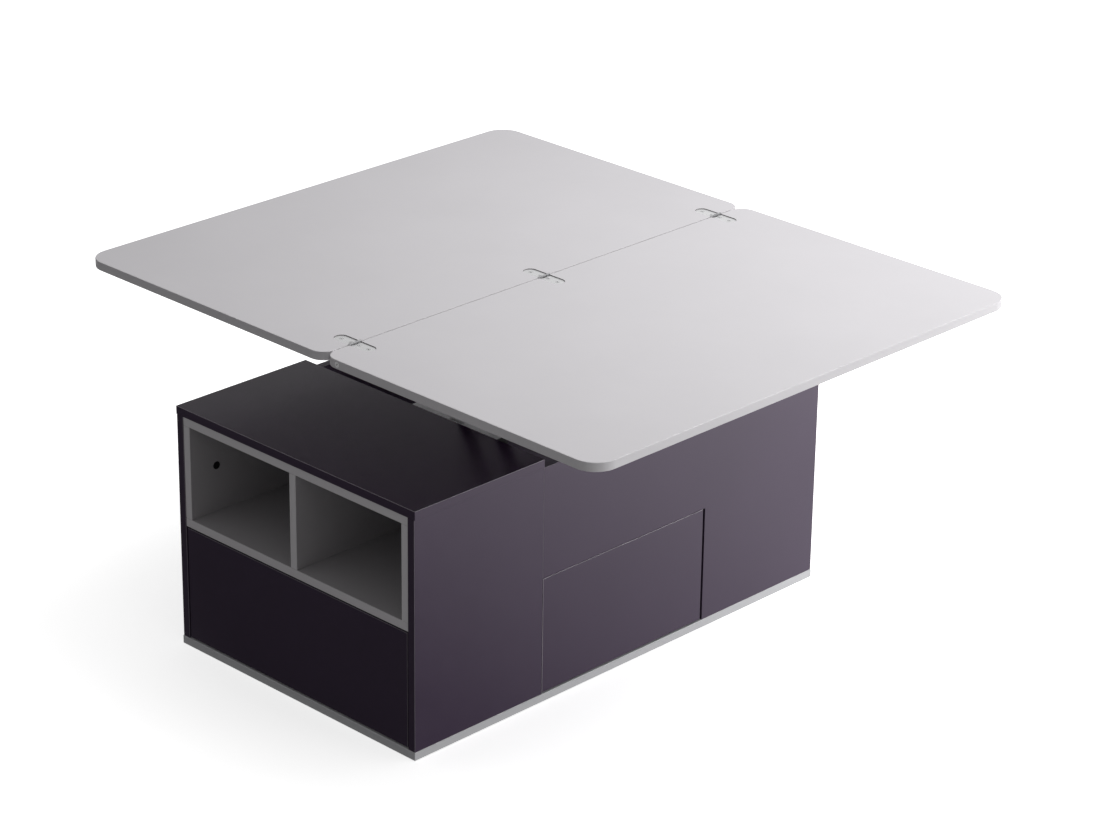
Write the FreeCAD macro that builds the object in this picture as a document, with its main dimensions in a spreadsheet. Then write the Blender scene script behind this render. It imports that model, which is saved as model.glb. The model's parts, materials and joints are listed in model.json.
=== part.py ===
"""Convertible coffee dining table: a storage base with a lifting, unfolding two-leaf top.

Frame: millimetres, +Z up, origin on the floor under the middle of the base.
+X points to the side with the drawer in the long wall, -Y to the end with the open cubbies.
The model stands with the top lifted and unfolded.
"""
import FreeCAD, Part
import Sketcher
import math
import operator
import os
from types import SimpleNamespace

# Driving dimensions, in millimetres and degrees
SIZES = {
    # Base
    "base_width": 600,
    "base_length": 1010,
    "near_length": 300,
    "plinth_thick": 15,
    "plinth_proud": 1,
    "board": 16,
    "wall_top": 444,
    "top_lip": 1.5,
    "arris": 0.5,
    # Cubby insert in the near end
    "cubby_base": 235,
    "cubby_board": 16,
    "cubby_back": 6,
    "front_setback": 1,
    "cap_dia": 14,
    "cap_head": 1.2,
    "cap_stem_dia": 8,
    "cap_stem": 9,
    "cap_inset": 59,
    "cap_height": 339,
    # Drawers
    "drawer_gap": 3,
    "drawer_board": 12,
    "drawer_bottom": 6,
    "bottom_rise": 8,
    "box_rise": 10,
    "box_headroom": 26,
    "side_opening_width": 410,
    "side_opening_top": 237,
    "side_gap_near": 1,
    "side_gap_far": 5,
    "side_gap_top": 1.2,
    "side_back_room": 48,
    "end_back_room": 17,
    "rail_height": 35,
    "rail_depth": 12,
    "rail_wall": 1.6,
    "rail_end_gap": 6,
    "slide_clear": 0.5,
    "rail_place": 42,
    # Leaves
    "leaf_side_overhang": 10,
    "leaf_end_overhang": 8,
    "leaf_thick": 16,
    "leaf_corner": 42,
    "seam_corner": 28,
    "leaf_round": 1.2,
    "seam_gap": 0.4,
    "fold_rise": 0.3,
    "pad_gap": 2,
    "pad_clear": 0.3,
    "pad_dia": 20,
    "pad_inset": 60,
    "plug_dia": 10.5,
    "plug_depth": 10,
    "plug_offset": 34,
    "plug_slot_length": 5.2,
    "plug_slot_width": 1.4,
    "plug_slot_depth": 1,
    # Lift
    "arm_length": 260,
    "arm_width": 26,
    "arm_thick": 6,
    "open_angle": 56.7,
    "closed_angle": 175.7,
    "front_pivot_x": 132,
    "pivot_pitch": 115,
    "pivot_drop": 35,
    "pivot_depth": 24,
    "pivot_margin": 20,
    "pivot_dia": 10,
    "pivot_clear": 0.05,
    "fit_clear": 0.05,
    "loose_clear": 0.3,
    "side_clear": 0.6,
    "rivet_head_dia": 17,
    "rivet_head": 3,
    "channel_length": 210,
    "channel_width": 26,
    "channel_steel": 4,
    "channel_rise": 12,
    "channel_slot_length": 34,
    "channel_slot_width": 9,
    "flange_width": 40,
    "tube_dia": 20,
    "tube_wall": 2,
    "tube_place": 130,
    "stop_dia": 16,
    "stop_place": 40,
    "stop_clear": 0.2,
    # Flush hinges across the seam
    "hinge_length": 92,
    "hinge_width": 26,
    "hinge_plate": 3,
    "hinge_sink": 1.6,
    "hinge_inset": 71,
    "hinge_clear": 0.2,
    "knuckle_dia": 5,
    "knuckle_gap": 0.3,
    "knuckle_mid": 9,
    "hinge_pin_dia": 2.6,
    # Screws
    "screw_dia": 4.2,
    "screw_head_dia": 9,
    "screw_head": 3,
    "screw_bite": 10,
    "hinge_screw_dia": 3.4,
    "hinge_screw_head_dia": 7,
    "hinge_screw_head": 2,
}

doc = FreeCAD.newDocument("table")
sheet = doc.addObject("Spreadsheet::Sheet", "dims")
for row, (alias, number) in enumerate(SIZES.items(), start=1):
    sheet.set("A%d" % row, alias)
    sheet.set("B%d" % row, str(number))
    sheet.setAlias("B%d" % row, alias)
doc.recompute()

ACTIONS = {"+": operator.add, "-": operator.sub, "*": operator.mul, "/": operator.truediv}


class Size:
    """A size as the text of a sheet expression, together with its present value."""

    def __init__(self, text, value):
        self.text = text
        self.value = value

    def __add__(self, other):
        return joined(self, "+", other)

    def __radd__(self, other):
        return joined(other, "+", self)

    def __sub__(self, other):
        return joined(self, "-", other)

    def __rsub__(self, other):
        return joined(other, "-", self)

    def __mul__(self, other):
        return joined(self, "*", other)

    def __rmul__(self, other):
        return joined(other, "*", self)

    def __truediv__(self, other):
        return joined(self, "/", other)

    def __neg__(self):
        return joined(0, "-", self)


def as_size(value):
    return value if isinstance(value, Size) else Size(repr(value), value)


def joined(left, sign, right):
    left = as_size(left)
    right = as_size(right)
    return Size("(%s %s %s)" % (left.text, sign, right.text), ACTIONS[sign](left.value, right.value))


def sine(angle):
    return Size("sin(%s)" % angle.text, math.sin(math.radians(angle.value)))


def cosine(angle):
    return Size("cos(%s)" % angle.text, math.cos(math.radians(angle.value)))


s = SimpleNamespace(**{name: Size("dims." + name, value) for name, value in SIZES.items()})

# Planes of the base
half_width = s.base_width / 2
near_y = -s.base_length / 2
split_y = near_y + s.near_length
far_y = s.base_length / 2
inner_x = half_width - s.board
back_y = split_y - s.board
far_inner_y = far_y - s.board
wall_height = s.wall_top - s.plinth_thick
unit_top = s.wall_top + s.board

# Lift pivots: the closed top lies centred on the base, and the arms carry it to its open place
closed_under = unit_top + s.pad_gap
front_base_x = s.front_pivot_x
front_base_z = closed_under - s.pivot_depth - s.arm_length * sine(s.closed_angle)
rear_base_x = front_base_x - s.pivot_pitch
rear_base_z = front_base_z - s.pivot_drop
reach_x = s.arm_length * cosine(s.open_angle)
reach_z = s.arm_length * sine(s.open_angle)
shift_x = s.arm_length * (cosine(s.open_angle) - cosine(s.closed_angle))

# Leaves at rest: open
leaf_width = s.base_width + 2 * s.leaf_side_overhang
leaf_length = s.base_length + 2 * s.leaf_end_overhang
leaf_near_y = -leaf_length / 2
seam_x = shift_x - leaf_width / 2
leaf_z = front_base_z + reach_z + s.pivot_depth
leaf_top = leaf_z + s.leaf_thick
fold_z = leaf_top + s.fold_rise
hinge_y = leaf_length / 2 - s.hinge_inset

PARTS = []


def keep(obj, label):
    """Give a finished sub-part its label, which names its file."""
    obj.Label = label
    PARTS.append(obj)
    return obj


def bind(obj, **sizes):
    for name, value in sizes.items():
        obj.setExpression(name, as_size(value).text)


def place(obj, x, y, z):
    for axis, value in zip("xyz", (x, y, z)):
        obj.setExpression("Placement.Base." + axis, as_size(value).text)


def turned(obj, axis, degrees):
    obj.Placement.Rotation = FreeCAD.Rotation(FreeCAD.Vector(*axis), degrees)
    return obj


def box(x, y, z, length, width, height):
    """A block from its low corner and its sizes along X, Y and Z."""
    block = doc.addObject("Part::Box", "block")
    bind(block, Length=length, Width=width, Height=height)
    place(block, x, y, z)
    return block


def rod(axis, x, y, z, diameter, length):
    """A cylinder that starts at a point and runs along +X, +Y or +Z."""
    cylinder = doc.addObject("Part::Cylinder", "rod")
    bind(cylinder, Radius=diameter / 2, Height=length)
    if axis == "x":
        turned(cylinder, (0, 1, 0), 90)
    if axis == "y":
        turned(cylinder, (1, 0, 0), -90)
    place(cylinder, x, y, z)
    return cylinder


def cone(x, y, z, low_diameter, high_diameter, height):
    frustum = doc.addObject("Part::Cone", "cone")
    bind(frustum, Radius1=low_diameter / 2, Radius2=high_diameter / 2, Height=height)
    place(frustum, x, y, z)
    return frustum


def fused(*shapes):
    union = doc.addObject("Part::MultiFuse", "union")
    union.Shapes = list(shapes)
    union.Refine = True
    return union


def cut(base, *tools):
    """The base with every tool taken out of it, one after another."""
    for tool in tools:
        result = doc.addObject("Part::Cut", "cut")
        result.Base = base
        result.Tool = tool
        result.Refine = True
        base = result
    return base


def grouped(*solids):
    """Separate like solids that share one node."""
    group = doc.addObject("Part::Compound", "group")
    group.Links = list(solids)
    return group


def eased(block):
    """A board with its sharp edges broken all round."""
    doc.recompute()
    chamfer = doc.addObject("Part::Chamfer", "eased")
    chamfer.Base = block
    bevel = s.arris.value
    chamfer.Edges = [(index, bevel, bevel) for index in range(1, len(block.Shape.Edges) + 1)]
    return chamfer


def board(x, y, z, length, width, height):
    return eased(box(x, y, z, length, width, height))


def plane_of(body, role):
    for feature in body.Origin.OriginFeatures:
        if feature.Role == role:
            return feature


def outline(body, role, points):
    """A closed sketch of straight lines whose corners are tied to the sheet."""
    sketch = body.newObject("Sketcher::SketchObject", "outline")
    sketch.AttachmentSupport = [(plane_of(body, role), "")]
    sketch.MapMode = "FlatFace"
    corners = [FreeCAD.Vector(as_size(u).value, as_size(v).value, 0) for u, v in points]
    count = len(corners)
    for index in range(count):
        sketch.addGeometry(Part.LineSegment(corners[index], corners[(index + 1) % count]), False)
    for index in range(count):
        sketch.addConstraint(Sketcher.Constraint("Coincident", index, 2, (index + 1) % count, 1))
    for index, point in enumerate(points):
        for kind, value in zip(("DistanceX", "DistanceY"), point):
            value = as_size(value)
            number = sketch.addConstraint(Sketcher.Constraint(kind, -1, 1, index, 1, value.value))
            sketch.setExpression("Constraints[%d]" % number, value.text)
    return sketch


def extruded(role, points, thickness, reverse=False):
    """A body padded from an outline on one of its own planes."""
    body = doc.addObject("PartDesign::Body", "body")
    pad = body.newObject("PartDesign::Pad", "pad")
    pad.Profile = outline(body, role, points)
    bind(pad, Length=thickness)
    pad.Reversed = reverse
    body.Tip = pad
    doc.recompute()
    return body


def edges_where(shape, test):
    return ["Edge%d" % index for index, edge in enumerate(shape.Edges, start=1) if test(edge)]


def dressed(body, kind, edges, **sizes):
    """A fillet or chamfer on named edges of the body's last feature."""
    last = body.Tip
    feature = body.newObject("PartDesign::" + kind, kind.lower())
    feature.Base = (last, edges)
    bind(feature, **sizes)
    body.Tip = feature
    doc.recompute()
    return feature


# Base carcass
keep(board(-half_width - s.plinth_proud, near_y - s.plinth_proud, 0,
           s.base_width + 2 * s.plinth_proud, s.base_length + 2 * s.plinth_proud,
           s.plinth_thick), "base_board")
for label, x in (("near_side_left", -half_width), ("near_side_right", inner_x)):
    keep(board(x, near_y, s.plinth_thick, s.board, s.near_length, wall_height), label)
keep(board(-half_width - s.top_lip, near_y, s.wall_top,
           s.base_width + 2 * s.top_lip, s.near_length, s.board), "near_top")
far_length = s.base_length - s.near_length
keep(board(-half_width, split_y, s.plinth_thick, s.board, far_length, wall_height), "far_side_left")


def far_side_right():
    """The long wall on the drawer side: one L-shaped board round the drawer's opening."""
    wall = board(inner_x, split_y, s.plinth_thick, s.board, far_length, wall_height)
    opening = box(inner_x, split_y, s.plinth_thick, s.board, s.side_opening_width,
                  s.side_opening_top - s.plinth_thick)
    return cut(wall, opening)


keep(far_side_right(), "far_side_right")
partition_y = split_y + s.side_opening_width
keep(board(-inner_x, split_y, s.side_opening_top, 2 * inner_x,
           s.side_opening_width + s.board, s.board), "bay_floor")
keep(board(-inner_x, partition_y, s.plinth_thick, 2 * inner_x, s.board,
           s.side_opening_top - s.plinth_thick), "bay_partition")

# Cubby insert
cubby_y = near_y + s.front_setback
cubby_depth = back_y - cubby_y
cubby_low = s.cubby_base + s.cubby_board
cubby_high = s.wall_top - s.cubby_board
cubby_x = inner_x - s.cubby_board
cubby_clear = cubby_high - cubby_low
for label, z in (("cubby_floor", s.cubby_base), ("cubby_top", cubby_high)):
    keep(board(-inner_x, cubby_y, z, 2 * inner_x, cubby_depth, s.cubby_board), label)
keep(board(cubby_x, cubby_y, cubby_low, s.cubby_board, cubby_depth, cubby_clear), "cubby_right")
keep(board(-s.cubby_board / 2, cubby_y, cubby_low, s.cubby_board,
           cubby_depth - s.cubby_back, cubby_clear), "cubby_divider")
keep(board(-cubby_x, back_y - s.cubby_back, cubby_low, 2 * cubby_x, s.cubby_back, cubby_clear), "cubby_back")
cap_y = near_y + s.cap_inset
cap_hole = rod("x", -cubby_x - s.cap_stem, cap_y, s.cap_height,
               s.cap_stem_dia + 2 * s.fit_clear, s.cap_stem)
keep(cut(board(-inner_x, cubby_y, cubby_low, s.cubby_board, cubby_depth, cubby_clear),
         cap_hole), "cubby_left")
keep(fused(rod("x", -cubby_x, cap_y, s.cap_height, s.cap_dia, s.cap_head),
           rod("x", -cubby_x - s.cap_stem, cap_y, s.cap_height, s.cap_stem_dia, s.cap_stem)), "cubby_cap")

# Drawers: each box hangs on a pair of rails and is closed by a flat front
rail_bar = s.rail_height - 2 * s.rail_wall - 2 * s.slide_clear
rail_reach = s.rail_depth - s.rail_wall
front_low = s.plinth_thick + s.drawer_gap
box_low = front_low + s.box_rise
rail_z = box_low + s.rail_place
end_front_y = near_y + s.front_setback
end_box_y = end_front_y + s.board
end_box_depth = back_y - s.end_back_room - end_box_y
side_box_depth = 2 * inner_x - s.side_back_room
side_box_x = inner_x - side_box_depth
box_bottom_z = box_low + s.bottom_rise


def end_rail(wall_x, inward):
    """A C-shaped cabinet rail along Y on one side wall of the end drawer."""
    low = end_box_y + s.rail_end_gap
    length = end_box_depth - s.rail_end_gap
    web_x = wall_x if inward > 0 else wall_x - s.rail_depth
    groove_x = web_x + s.rail_wall if inward > 0 else web_x
    shell = box(web_x, low, rail_z - s.rail_height / 2, s.rail_depth, length, s.rail_height)
    groove = box(groove_x, low, rail_z - s.rail_height / 2 + s.rail_wall,
                 rail_reach, length, s.rail_height - 2 * s.rail_wall)
    return cut(shell, groove)


def side_rail(wall_y, inward):
    """A C-shaped cabinet rail along X on one side wall of the side drawer."""
    low = side_box_x
    length = side_box_depth - s.rail_end_gap
    web_y = wall_y if inward > 0 else wall_y - s.rail_depth
    groove_y = web_y + s.rail_wall if inward > 0 else web_y
    shell = box(low, web_y, rail_z - s.rail_height / 2, length, s.rail_depth, s.rail_height)
    groove = box(low, groove_y, rail_z - s.rail_height / 2 + s.rail_wall,
                 length, rail_reach, s.rail_height - 2 * s.rail_wall)
    return cut(shell, groove)


bar_depth = rail_reach - s.slide_clear
box_margin = s.rail_depth + s.slide_clear
keep(grouped(end_rail(-inner_x, 1), end_rail(inner_x, -1)), "end_drawer_rails")
keep(grouped(side_rail(split_y, 1), side_rail(partition_y, -1)), "side_drawer_rails")

# End drawer
end_half = inner_x - box_margin
end_box_height = s.cubby_base - s.drawer_gap - s.box_headroom - box_low
slide_length = end_box_depth - s.rail_end_gap
slide_low = end_box_y + s.rail_end_gap
keep(board(-inner_x + s.drawer_gap, end_front_y, front_low, 2 * (inner_x - s.drawer_gap), s.board,
           s.cubby_base - s.drawer_gap - front_low), "end_drawer_front")
for label, x in (("end_drawer_side_left", -end_half), ("end_drawer_side_right", end_half - s.drawer_board)):
    keep(board(x, end_box_y, box_low, s.drawer_board, end_box_depth, end_box_height), label)
end_inner = end_half - s.drawer_board
keep(board(-end_inner, end_box_y + end_box_depth - s.drawer_board, box_low,
           2 * end_inner, s.drawer_board, end_box_height), "end_drawer_back")
keep(board(-end_inner, end_box_y, box_bottom_z, 2 * end_inner,
           end_box_depth - s.drawer_board, s.drawer_bottom), "end_drawer_bottom")
keep(grouped(*[box(x, slide_low, rail_z - rail_bar / 2, bar_depth + s.slide_clear, slide_length, rail_bar)
               for x in (-inner_x + s.rail_wall + s.slide_clear, end_half)]), "end_drawer_slides")

# Side drawer
side_near = split_y + box_margin
side_far = partition_y - box_margin
side_box_height = s.side_opening_top - s.drawer_gap - s.box_headroom - box_low
keep(board(inner_x, split_y + s.side_gap_near, front_low, s.board,
           s.side_opening_width - s.side_gap_near - s.side_gap_far,
           s.side_opening_top - s.side_gap_top - front_low), "side_drawer_front")
for label, y in (("side_drawer_side_near", side_near), ("side_drawer_side_far", side_far - s.drawer_board)):
    keep(board(side_box_x, y, box_low, side_box_depth, s.drawer_board, side_box_height), label)
side_inner = side_far - side_near - 2 * s.drawer_board
keep(board(side_box_x, side_near + s.drawer_board, box_low, s.drawer_board, side_inner,
           side_box_height), "side_drawer_back")
keep(board(side_box_x + s.drawer_board, side_near + s.drawer_board, box_bottom_z,
           side_box_depth - s.drawer_board, side_inner, s.drawer_bottom), "side_drawer_bottom")
side_slide_length = side_box_depth - s.rail_end_gap
keep(grouped(*[box(side_box_x, y, rail_z - rail_bar / 2, side_slide_length,
                   bar_depth + s.slide_clear, rail_bar)
               for y in (split_y + s.rail_wall + s.slide_clear, side_far)]), "side_drawer_slides")

# Lift: the same set of pieces at the bay's near wall and at its far wall
channel_top = s.wall_top + s.channel_rise
channel_low = rear_base_z - s.pivot_margin
channel_x = (front_base_x + rear_base_x - s.channel_length) / 2
cheek_offset = s.channel_width - s.channel_steel
arm_offset = s.channel_width + s.side_clear
head_offset = arm_offset + s.arm_thick + s.side_clear
pivots_low = ((front_base_x, front_base_z), (rear_base_x, rear_base_z))
pivots_high = tuple((x + reach_x, z + reach_z) for x, z in pivots_low)
screw_hole = s.screw_dia + 2 * s.fit_clear

# Centres of the screws that hold a channel to its wall
screw_rows = (channel_low + s.pivot_margin, channel_top - s.channel_steel - s.pivot_margin)
screw_columns = (channel_x + s.pivot_margin, channel_x + s.channel_length - s.pivot_margin)
channel_screw_places = [(x, z) for x in screw_columns for z in screw_rows]


def span(end, offset, thickness):
    """Low Y of a layer that lies at an offset from the bay's near or far wall."""
    return split_y + offset if end == "near" else far_inner_y - offset - thickness


def wall_pilots(end):
    """Holes in a wall for the screws of its channel."""
    y = span(end, -s.screw_bite, s.screw_bite)
    return [rod("y", x, y, z, screw_hole, s.screw_bite) for x, z in channel_screw_places]


def lift_channel(end):
    """An inverted U of pale steel that carries the two base pivots of one end."""
    y = span(end, 0, s.channel_width)
    shell = box(channel_x, y, channel_low, s.channel_length, s.channel_width, channel_top - channel_low)
    hollow = box(channel_x, span(end, s.channel_steel, cheek_offset - s.channel_steel), channel_low,
                 s.channel_length, cheek_offset - s.channel_steel,
                 channel_top - channel_low - s.channel_steel)
    slot = box(channel_x + s.channel_length / 2 - s.channel_slot_length / 2,
               y + s.channel_width / 2 - s.channel_slot_width / 2, channel_top - s.channel_steel,
               s.channel_slot_length, s.channel_slot_width, s.channel_steel)
    pivot_holes = [rod("y", x, span(end, cheek_offset, s.channel_steel), z,
                       s.pivot_dia + 2 * s.pivot_clear, s.channel_steel) for x, z in pivots_low]
    screw_holes = [rod("y", x, span(end, 0, s.channel_steel), z, screw_hole, s.channel_steel)
                   for x, z in channel_screw_places]
    return cut(shell, hollow, slot, *pivot_holes, *screw_holes)


def channel_screw(end, x, z):
    head = rod("y", x, span(end, s.channel_steel, s.screw_head), z, s.screw_head_dia, s.screw_head)
    shank_length = s.channel_steel + s.screw_bite
    shank = rod("y", x, span(end, -s.screw_bite, shank_length), z, s.screw_dia, shank_length)
    return fused(head, shank)


def rivet(end, x, z):
    """A pivot with a head on each side of the steel plate and the arm that it joins."""
    tail = rod("y", x, span(end, cheek_offset - s.rivet_head, s.rivet_head), z,
               s.rivet_head_dia, s.rivet_head)
    shank_length = head_offset - cheek_offset
    shank = rod("y", x, span(end, cheek_offset, shank_length), z, s.pivot_dia, shank_length)
    head = rod("y", x, span(end, head_offset, s.rivet_head), z, s.rivet_head_dia, s.rivet_head)
    return fused(tail, shank, head)


def arm(end, x, z, high_clear):
    """A flat bar with round ends, laid along the open angle from its base pivot."""
    body = box(0, 0, -s.arm_width / 2, s.arm_length, s.arm_thick, s.arm_width)
    ends = [rod("y", along, 0, 0, s.arm_width, s.arm_thick) for along in (0, s.arm_length)]
    low_hole = rod("y", 0, 0, 0, s.pivot_dia + 2 * s.pivot_clear, s.arm_thick)
    high_hole = rod("y", s.arm_length, 0, 0, s.pivot_dia + 2 * high_clear, s.arm_thick)
    bar = cut(fused(body, *ends), low_hole, high_hole)
    turned(bar, (0, -1, 0), s.open_angle.value)
    bar.setExpression("Placement.Rotation.Angle", s.open_angle.text)
    place(bar, x, span(end, arm_offset, s.arm_thick), z)
    return bar


def cross_tube(x, z):
    """The tube that makes the near and far arms of a pair swing as one."""
    low = span("near", arm_offset + s.arm_thick, 0)
    length = far_inner_y - arm_offset - s.arm_thick - low
    at_x = x + s.tube_place * cosine(s.open_angle)
    at_z = z + s.tube_place * sine(s.open_angle)
    outer = rod("y", at_x, low, at_z, s.tube_dia, length)
    inner = rod("y", at_x, low, at_z, s.tube_dia - 2 * s.tube_wall, length)
    return cut(outer, inner)


bracket_low_x = pivots_high[1][0] - s.pivot_margin
bracket_high_x = pivots_high[0][0] + s.pivot_margin


def bracket_screws(end):
    """Centres of the screws that hold a top bracket to the leaf."""
    y = span(end, s.channel_width + s.flange_width / 2, 0)
    inset = s.pivot_margin
    middle = (bracket_low_x + bracket_high_x) / 2
    return [(x, y) for x in (bracket_low_x + inset, middle, bracket_high_x - inset)]


def top_bracket(end):
    """A steel angle: a plate with the two upper pivots under a flange that is screwed to the leaf."""
    plate_points = (
        (bracket_low_x, leaf_z),
        (bracket_low_x, pivots_high[1][1] - s.pivot_margin),
        (bracket_high_x, pivots_high[0][1] - s.pivot_margin),
        (bracket_high_x, leaf_z),
    )
    plate = extruded("XZ_Plane", plate_points, s.channel_steel, reverse=True)
    place(plate, 0, span(end, cheek_offset, s.channel_steel), 0)
    flange = box(bracket_low_x, span(end, cheek_offset, s.flange_width + s.channel_steel),
                 leaf_z - s.channel_steel, bracket_high_x - bracket_low_x,
                 s.flange_width + s.channel_steel, s.channel_steel)
    pivot_holes = [rod("y", x, span(end, cheek_offset, s.channel_steel), z,
                       s.pivot_dia + 2 * s.pivot_clear, s.channel_steel) for x, z in pivots_high]
    screw_holes = [rod("z", x, y, leaf_z - s.channel_steel, screw_hole, s.channel_steel)
                   for x, y in bracket_screws(end)]
    return cut(fused(plate, flange), *pivot_holes, *screw_holes)


def bracket_screw(x, y):
    low = leaf_z - s.channel_steel
    head = rod("z", x, y, low - s.screw_head, s.screw_head_dia, s.screw_head)
    shank = rod("z", x, y, low, s.screw_dia, s.channel_steel + s.screw_bite)
    return fused(head, shank)


def stop(end):
    """A rubber buffer on the channel's cheek, on which the open front arm leans."""
    away = (s.arm_width + s.stop_dia) / 2 + s.stop_clear
    x = front_base_x + s.stop_place * cosine(s.open_angle) + away * sine(s.open_angle)
    z = front_base_z + s.stop_place * sine(s.open_angle) - away * cosine(s.open_angle)
    length = s.side_clear + s.arm_thick
    return rod("y", x, span(end, s.channel_width, length), z, s.stop_dia, length)


ENDS = ("near", "far")
keep(cut(board(-inner_x, back_y, s.plinth_thick, 2 * inner_x, s.board, wall_height),
         *wall_pilots("near")), "near_back")
keep(cut(board(-inner_x, far_inner_y, s.plinth_thick, 2 * inner_x, s.board, wall_height),
         *wall_pilots("far")), "far_end")
for end in ENDS:
    keep(lift_channel(end), "lift_channel_" + end)
    keep(arm(end, front_base_x, front_base_z, s.pivot_clear), "front_arm_" + end)
    keep(arm(end, rear_base_x, rear_base_z, s.loose_clear), "rear_arm_" + end)
    keep(top_bracket(end), "top_bracket_" + end)
keep(cross_tube(front_base_x, front_base_z), "front_cross_tube")
keep(cross_tube(rear_base_x, rear_base_z), "rear_cross_tube")
keep(grouped(*[stop(end) for end in ENDS]), "lift_stops")
keep(grouped(*[rivet(end, x, z) for end in ENDS for x, z in pivots_low]), "lower_rivets")
keep(grouped(*[rivet(end, x, z) for end in ENDS for x, z in pivots_high]), "upper_rivets")
keep(grouped(*[channel_screw(end, x, z) for end in ENDS for x, z in channel_screw_places]), "channel_screws")
keep(grouped(*[bracket_screw(x, y) for end in ENDS for x, y in bracket_screws(end)]), "bracket_screws")

# Flush hinges: a plate sunk into each leaf, knuckles on the seam and a pin through them
HINGES = (("near", -hinge_y), ("middle", 0), ("far", hinge_y))
plate_top = leaf_top - s.hinge_sink
plate_low = plate_top - s.hinge_plate
plate_half = s.hinge_length / 2
plate_width = s.hinge_width - 2 * s.hinge_clear
knuckle_room = s.knuckle_dia / 2 + s.knuckle_gap
pin_bore = s.hinge_pin_dia + 2 * s.pivot_clear
hinge_screw_hole = s.hinge_screw_dia + 2 * s.fit_clear
outer_knuckle = (plate_width - s.knuckle_mid) / 2 - s.knuckle_gap
screw_places = (knuckle_room + s.hinge_screw_head_dia, plate_half - s.hinge_width / 2)


def half_stadium(side, y, z, half, width, height, start):
    """One round-ended half of a hinge's outline, on the right (+1) or left (-1) of the seam."""
    straight = half - width / 2 - start
    low_x = seam_x + start if side > 0 else seam_x - start - straight
    centre_x = seam_x + side * (half - width / 2)
    return fused(box(low_x, y - width / 2, z, straight, width, height),
                 rod("z", centre_x, y, z, width, height))


def hinge_recess(side, y):
    """The pocket in a leaf for its hinge plate."""
    return half_stadium(side, y, plate_low, plate_half, s.hinge_width, s.hinge_plate + s.hinge_sink, 0)


def hinge_pilots(side, y):
    low = plate_low - s.screw_bite
    return [rod("z", seam_x + side * place_x, y, low, hinge_screw_hole, s.screw_bite)
            for place_x in screw_places]


def hinge_plate(side, y):
    """A plate with its own knuckles; the right plate has the two outer ones, the left the middle one."""
    plate = half_stadium(side, y, plate_low, plate_half - s.hinge_clear, plate_width, s.hinge_plate,
                         knuckle_room)
    if side > 0:
        runs = ((y - plate_width / 2, outer_knuckle), (y + plate_width / 2 - outer_knuckle, outer_knuckle))
    else:
        runs = ((y - s.knuckle_mid / 2, s.knuckle_mid),)
    knuckles = []
    for run_y, run in runs:
        bridge_x = seam_x if side > 0 else seam_x - knuckle_room - s.knuckle_gap
        knuckles.append(rod("y", seam_x, run_y, fold_z, s.knuckle_dia, run))
        knuckles.append(box(bridge_x, run_y, plate_low + s.fold_rise, knuckle_room + s.knuckle_gap, run,
                            s.hinge_plate - s.fold_rise))
    bore = rod("y", seam_x, y - plate_width / 2, fold_z, pin_bore, plate_width)
    holes = []
    for place_x in screw_places:
        x = seam_x + side * place_x
        holes.append(rod("z", x, y, plate_low, hinge_screw_hole, s.hinge_plate))
        holes.append(cone(x, y, plate_top - s.hinge_screw_head, hinge_screw_hole,
                          s.hinge_screw_head_dia + 2 * s.fit_clear, s.hinge_screw_head))
    return cut(fused(plate, *knuckles), bore, *holes)


def hinge_screw(side, y, place_x):
    x = seam_x + side * place_x
    neck = plate_top - s.hinge_screw_head
    head = cone(x, y, neck, s.hinge_screw_dia, s.hinge_screw_head_dia, s.hinge_screw_head)
    length = s.hinge_plate - s.hinge_screw_head + s.screw_bite
    return fused(head, rod("z", x, y, neck - length, s.hinge_screw_dia, length))


for side, name in ((1, "right"), (-1, "left")):
    for label, y in HINGES:
        keep(hinge_plate(side, y), "hinge_plate_%s_%s" % (name, label))
    keep(grouped(*[hinge_screw(side, y, place_x) for _, y in HINGES for place_x in screw_places]),
         "hinge_screws_" + name)
keep(grouped(*[rod("y", seam_x, y - plate_width / 2, fold_z, s.hinge_pin_dia, plate_width)
               for _, y in HINGES]), "hinge_pins")

# Leaves
plug_x = seam_x + s.plug_offset
plug_z = leaf_z + s.leaf_thick / 2
PLUGS = ((leaf_near_y, 1), (-leaf_near_y, -1))


def leaf_blank(side):
    """A leaf board with its corners and its rims rounded; the seam corners are the tighter ones."""
    seam_edge = seam_x + side * s.seam_gap / 2
    outer_edge = seam_x + side * leaf_width
    points = (
        (seam_edge, leaf_near_y),
        (outer_edge, leaf_near_y),
        (outer_edge, -leaf_near_y),
        (seam_edge, -leaf_near_y),
    )
    body = extruded("XY_Plane", points, s.leaf_thick)
    for edge_x, radius in ((seam_edge, s.seam_corner), (outer_edge, s.leaf_corner)):
        upright = edges_where(body.Shape, lambda edge: edge.BoundBox.ZLength > s.leaf_thick.value / 2
                              and abs(edge.BoundBox.XMin - edge_x.value) < s.seam_gap.value / 2)
        dressed(body, "Fillet", upright, Radius=radius)
    rims = edges_where(body.Shape, lambda edge: edge.BoundBox.ZLength < s.leaf_round.value)
    dressed(body, "Fillet", rims, Radius=s.leaf_round)
    place(body, 0, 0, leaf_z)
    return body


def right_leaf():
    """The leaf that the lift carries, with room for its hinges, edge plugs and bracket screws."""
    pockets = [hinge_recess(1, y) for _, y in HINGES]
    pilots = [hole for _, y in HINGES for hole in hinge_pilots(1, y)]
    sockets = [rod("y", plug_x, y if inward > 0 else y - s.plug_depth, plug_z,
                   s.plug_dia + 2 * s.fit_clear, s.plug_depth) for y, inward in PLUGS]
    screw_pilots = [rod("z", x, y, leaf_z, screw_hole, s.screw_bite)
                    for end in ENDS for x, y in bracket_screws(end)]
    return cut(leaf_blank(1), *pockets, *pilots, *sockets, *screw_pilots)


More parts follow.
